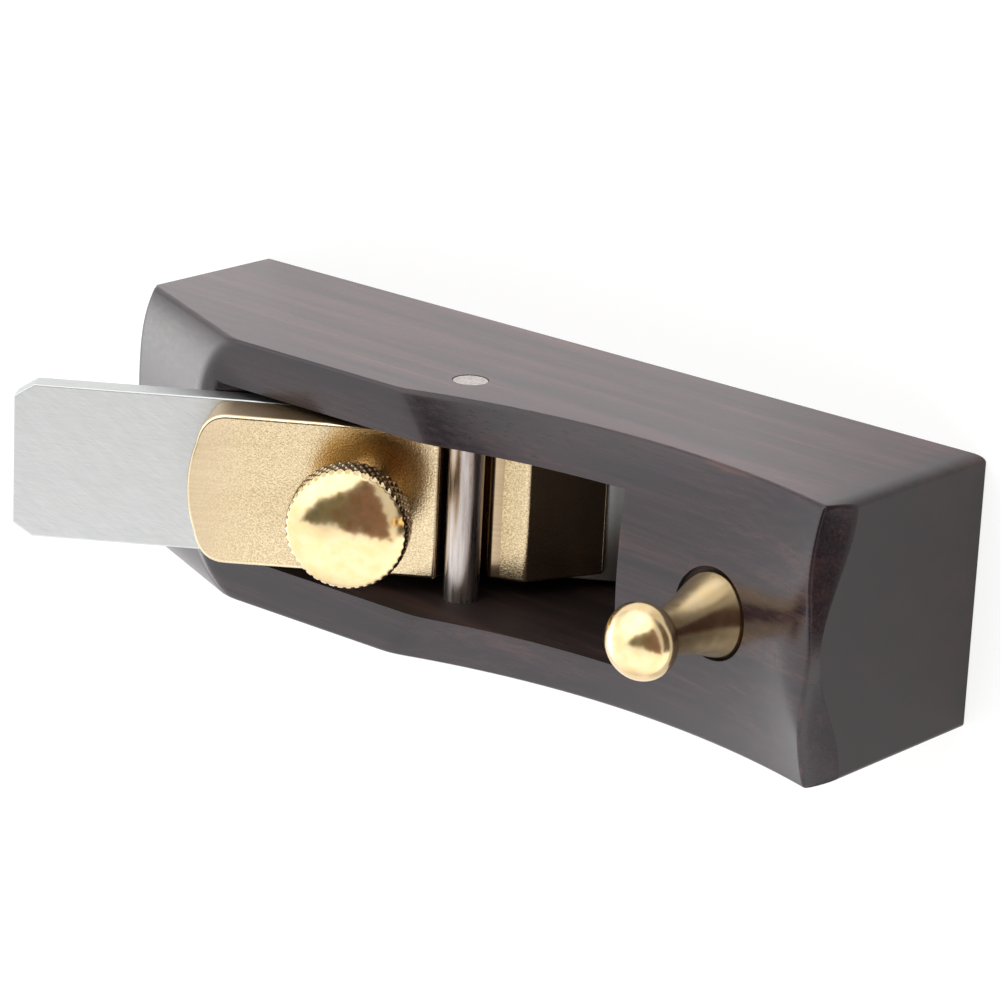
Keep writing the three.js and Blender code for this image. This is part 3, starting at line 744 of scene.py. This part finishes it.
def stud():
    """The thumbscrew's stud, threaded from the chamfer at its foot up into the head."""
    foot, top = BED_GAP - CAP_TOP, HEAD_LIFT + STUD_IN_HEAD
    start = foot + STUD_CHAMFER
    profile = [(0, foot), (STUD_RADIUS - STUD_CHAMFER, foot)]
    profile += [(STUD_RADIUS, start + (top - start) * i / STUD_ROWS) for i in range(STUD_ROWS + 1)]
    profile += [(0, top)]
    mesh = turned_mesh(profile, STUD_STEPS)
    for vertex in mesh.verts:
        radius = vertex.co.xy.length
        if radius < STUD_RADIUS - THREAD_DEPTH:
            continue
        turn = math.atan2(vertex.co.y, vertex.co.x) / (2 * math.pi)
        phase = (vertex.co.z / THREAD_PITCH - turn) % 1
        groove = THREAD_DEPTH * (1 - abs(2 * phase - 1))
        vertex.co.xy *= (radius - groove) / radius
    piece = finished("stud_thread", mesh, SCREW)
    smooth(piece)
    dress(piece, BRIGHT_BRASS, "thumbscrew_stud", "thumbscrew_stud")


def knurl(angle, height):
    """How deep the diamond knurl is at a place on the band, from 0 on its raised lines to 1."""
    around = KNURL_COUNT * angle / (2 * math.pi)
    along = height / KNURL_PITCH
    from_line = min(abs(2 * ((around + slope) % 1) - 1) for slope in (along, -along))
    return min(1, KNURL_STEEPNESS * from_line)


def head():
    """The thumbscrew's head: a diamond knurl that runs out over the shoulder, under a buffed dome."""
    band_low = HEAD_LIFT + HEAD_UNDER
    # The shoulder's arc leaves the dome without a ridge and meets the band upright
    lean = math.asin((HEAD_RADIUS - HEAD_SHOULDER) / (DOME_RADIUS - HEAD_SHOULDER))
    dome_middle = HEAD_TOP - DOME_RADIUS
    dome_edge = DOME_RADIUS * math.sin(lean)
    band_high = dome_middle + (DOME_RADIUS - HEAD_SHOULDER) * math.cos(lean)
    profile = [(0, HEAD_LIFT), (HEAD_RADIUS - HEAD_UNDER, HEAD_LIFT)]
    rise = (band_high - band_low) / BAND_ROWS
    profile += [(HEAD_RADIUS, band_low + rise * i) for i in range(BAND_ROWS + 1)]
    profile += arc(HEAD_RADIUS - HEAD_SHOULDER, band_high, HEAD_SHOULDER, 0, math.pi / 2 - lean,
                   SHOULDER_STEPS)[1:]
    profile += arc(0, dome_middle, DOME_RADIUS, math.pi / 2 - lean, math.pi / 2, DOME_STEPS)[1:]
    mesh = turned_mesh(profile, KNURL_COUNT * STEPS_PER_KNURL)
    # The knurl starts below the band's foot and runs out over the shoulder
    run_in, run_out = HEAD_UNDER / 2, HEAD_SHOULDER * math.cos(lean)
    for vertex in mesh.verts:
        radius, height = vertex.co.xy.length, vertex.co.z
        over = min(1, max(0, (height - band_high) / run_out))
        share = min(1, max(0, (height - band_low) / run_in + 1)) * (1 - over ** 3)
        if radius > dome_edge and share > 0:
            cut = KNURL_DEPTH * share * knurl(math.atan2(vertex.co.y, vertex.co.x), height)
            vertex.co.xy *= (radius - cut) / radius
    piece = finished("head_knurled", mesh, SCREW)
    smooth(piece)
    dress(piece, BRIGHT_BRASS, "thumbscrew_head", "thumbscrew_head")


def front_knob():
    """The front knob: ball, neck and bell turned from one bar, sunk a little into the toe."""
    seat = hollow_height(KNOB_X, 0) - KNOB_SEAT_DEPTH + KNOB_GAP
    rim = seat + BELL_RIM
    neck_angle = math.acos(NECK_RADIUS / BALL_RADIUS)
    neck = BALL_HEIGHT - BALL_DROP * math.sin(neck_angle)
    flare = (neck - rim) * BELL_FLARE
    profile = [(0, seat), (BELL_RADIUS - BELL_ARRIS, seat), (BELL_RADIUS, seat + BELL_ARRIS)]
    profile += drawn_curve([(BELL_RADIUS, rim), ((BELL_RADIUS + NECK_RADIUS) / 2, rim + flare / 2),
                            (NECK_RADIUS, rim + flare), (NECK_RADIUS, neck)], BELL_ROWS)
    for i in range(1, BALL_ROWS + 1):
        angle = -neck_angle + (math.pi / 2 + neck_angle) * i / BALL_ROWS
        profile.append((max(0, BALL_RADIUS * math.cos(angle)), BALL_HEIGHT + BALL_DROP * math.sin(angle)))
    mesh = turned_mesh(profile, KNOB_STEPS)
    piece = finished("knob_brass", mesh, Matrix.Translation((KNOB_X, 0, 0)))
    smooth(piece)
    dress(piece, SATIN_BRASS, "front_knob", "stock")


# Camera, surround and paper
def camera():
    """The photograph's viewpoint."""
    data = bpy.data.cameras.new("camera")
    data.sensor_width = SENSOR_WIDTH
    data.lens = LENS
    data.clip_start, data.clip_end = SIGHT_METRES
    eye = bpy.data.objects.new("camera", data)
    bpy.context.scene.collection.objects.link(eye)
    level = (LOOKED_AT - EYE).to_track_quat("-Z", "Y").to_matrix().to_4x4()
    eye.matrix_world = Matrix.Translation(EYE * MM) @ level @ Matrix.Rotation(EYE_ROLL, 4, "Z")
    bpy.context.scene.camera = eye


def patch(tree, direction, corners, ragged):
    """1 in the directions inside a patch of sky, given by its corners in order, with ragged sides."""
    corners = [Vector(corner) for corner in corners]
    middle = sum(corners, Vector())
    shown = 1.0
    for first, second in zip(corners, corners[1:] + corners[:1]):
        side = first.cross(second).normalized()
        if side.dot(middle) < 0:
            side = -side
        inside = add(tree, "VectorMath", {0: direction, 1: side}, "Value", operation="DOT_PRODUCT")
        inside = add(tree, "Math", {0: inside, 1: ragged}, operation="ADD")
        inside = add(tree, "MapRange", {"Value": inside, "From Min": -PATCH_SOFTNESS,
                                        "From Max": PATCH_SOFTNESS})
        shown = add(tree, "Math", {0: inside, 1: shown}, operation="MULTIPLY")
    return shown


def lit_sky(tree, direction):
    """A pale sky with soft lights in it, whose light fades smoothly away from their middles."""
    glow = SKY_LEVEL
    for towards, full, end, strength in SOFT_LIGHTS:
        near = add(tree, "VectorMath", {0: direction, 1: Vector(towards).normalized()}, "Value",
                   operation="DOT_PRODUCT")
        light = add(tree, "MapRange", {"Value": near, "From Min": math.cos(math.radians(end)),
                                       "From Max": math.cos(math.radians(full)), "To Max": strength},
                    interpolation_type="SMOOTHSTEP")
        glow = add(tree, "Math", {0: light, 1: glow}, operation="ADD")
    return add(tree, "CombineColor", {0: glow, 1: glow, 2: glow})


def studio():
    """A pale surround with soft lights and a dim room in it, which the camera sees as white."""
    world = bpy.data.worlds.new("surround")
    bpy.context.scene.world = world
    world.use_nodes = True
    tree = world.node_tree
    tree.nodes.clear()
    direction = add(tree, "TexCoord", output="Generated")
    sky = lit_sky(tree, direction)

    # The room is grey-green to one side and brown to the other, and clutter makes its outline ragged
    clutter = add(tree, "TexNoise", {"Vector": direction, "Scale": 9, "Detail": 4, "Roughness": 0.7})
    ragged = add(tree, "MapRange", {"Value": clutter, "From Min": 0.3, "From Max": 0.7,
                                    "To Min": -CLUTTER_REACH, "To Max": CLUTTER_REACH})
    room = 0.0
    for corners in ROOM_PATCHES:
        shown = patch(tree, direction, corners, ragged)
        room = add(tree, "Math", {0: shown, 1: room}, operation="MAXIMUM")
    toeward = add(tree, "SeparateXYZ", {"Vector": direction}, "X")
    across = add(tree, "MapRange", {"Value": toeward, "From Min": -0.3, "From Max": 0.9})
    mottle = add(tree, "MapRange", {"Value": clutter, "From Min": 0.3, "From Max": 0.7, "To Min": -0.4,
                                    "To Max": 0.4})
    across = add(tree, "Math", {0: across, 1: mottle}, operation="ADD")
    dim = add(tree, "ValToRGB", {"Fac": across}, stops=[
        (0, "#64685a"), (0.4, "#8a8674"), (0.65, "#786859"), (1, "#94756a")])
    level = add(tree, "Mix", {FACTOR: room, FIRST: sky, SECOND: dim}, MIXED, data_type="RGBA")

    # Past the paper's end the ground is dark before the toe and pale towards the near side
    sideways = add(tree, "SeparateXYZ", {"Vector": direction}, "Y")
    before_toe = add(tree, "MapRange", {"Value": sideways, "From Min": -0.36, "From Max": -0.26})
    ground = add(tree, "Mix", {FACTOR: before_toe, FIRST: NEAR_GROUND, SECOND: srgb("#6e6257")}, MIXED,
                 data_type="RGBA")
    height = add(tree, "SeparateXYZ", {"Vector": direction}, "Z")
    low = add(tree, "MapRange", {"Value": height, "From Min": 0.1, "From Max": 0.03})
    ahead = add(tree, "MapRange", {"Value": toeward, "From Min": 0.2, "From Max": 0.6})
    past_paper = add(tree, "Math", {0: low, 1: ahead}, operation="MULTIPLY")
    level = add(tree, "Mix", {FACTOR: past_paper, FIRST: level, SECOND: ground}, MIXED, data_type="RGBA")

    lit = add(tree, "Background", {"Color": level, "Strength": 1})
    white = add(tree, "Background", {"Color": (1, 1, 1, 1), "Strength": 1})
    seen = add(tree, "LightPath", output="Is Camera Ray")
    surround = add(tree, "MixShader", {0: seen, 1: lit, 2: white})
    add(tree, "OutputWorld", {"Surface": surround})


def floor():
    """A sheet of white paper that keeps a faint shadow, and ends a little way past the toe."""
    mesh = bmesh.new()
    bmesh.ops.create_grid(mesh, x_segments=1, y_segments=1, size=PAPER_REACH)
    piece = finished("floor", mesh, Matrix.Translation((PAPER_END - PAPER_REACH, 0, -PAPER_GAP)))
    material, tree = new_material("white_floor")
    length = add(tree, "SeparateXYZ", {"Vector": placed(tree)}, "X")
    paper = add(tree, "MapRange", {"Value": length, "From Min": PAPER_FADE[0], "From Max": PAPER_FADE[1],
                                   "To Min": PAPER_MIRRORED[0], "To Max": PAPER_MIRRORED[1]})
    passed_on = add(tree, "Math", {0: add(tree, "LightPath", output="Is Glossy Ray"),
                                   1: add(tree, "LightPath", output="Is Transmission Ray")},
                    operation="MAXIMUM")
    mirrored = add(tree, "Math", {0: passed_on, 1: paper}, operation="MULTIPLY")
    looked_at = add(tree, "LightPath", output="Is Camera Ray")
    direct = add(tree, "Math", {0: looked_at, 1: PAPER_SEEN}, operation="MULTIPLY")
    seen = add(tree, "Math", {0: direct, 1: mirrored}, operation="MAXIMUM")
    matt = add(tree, "BsdfDiffuse", {"Color": PAPER_COLOUR})
    glow = add(tree, "Emission", {"Color": (1, 1, 1, 1), "Strength": seen})
    add(tree, "OutputMaterial", {"Surface": add(tree, "AddShader", {0: matt, 1: glow})})
    piece.data.materials.append(material)


camera()
WOOD = oiled_ebony()
STEEL = ground_steel()
PIN_STEEL = turned_steel()
CAST_BRASS = blasted_brass()
BRIGHT_BRASS = turned_brass("buffed_brass", BUFFED)
SATIN_BRASS = turned_brass("satin_brass", SATIN)
stock()
iron()
lever_cap()
cross_pin()
stud()
head()
front_knob()
studio()
floor()
bpy.context.scene.view_settings.view_transform = "Standard"
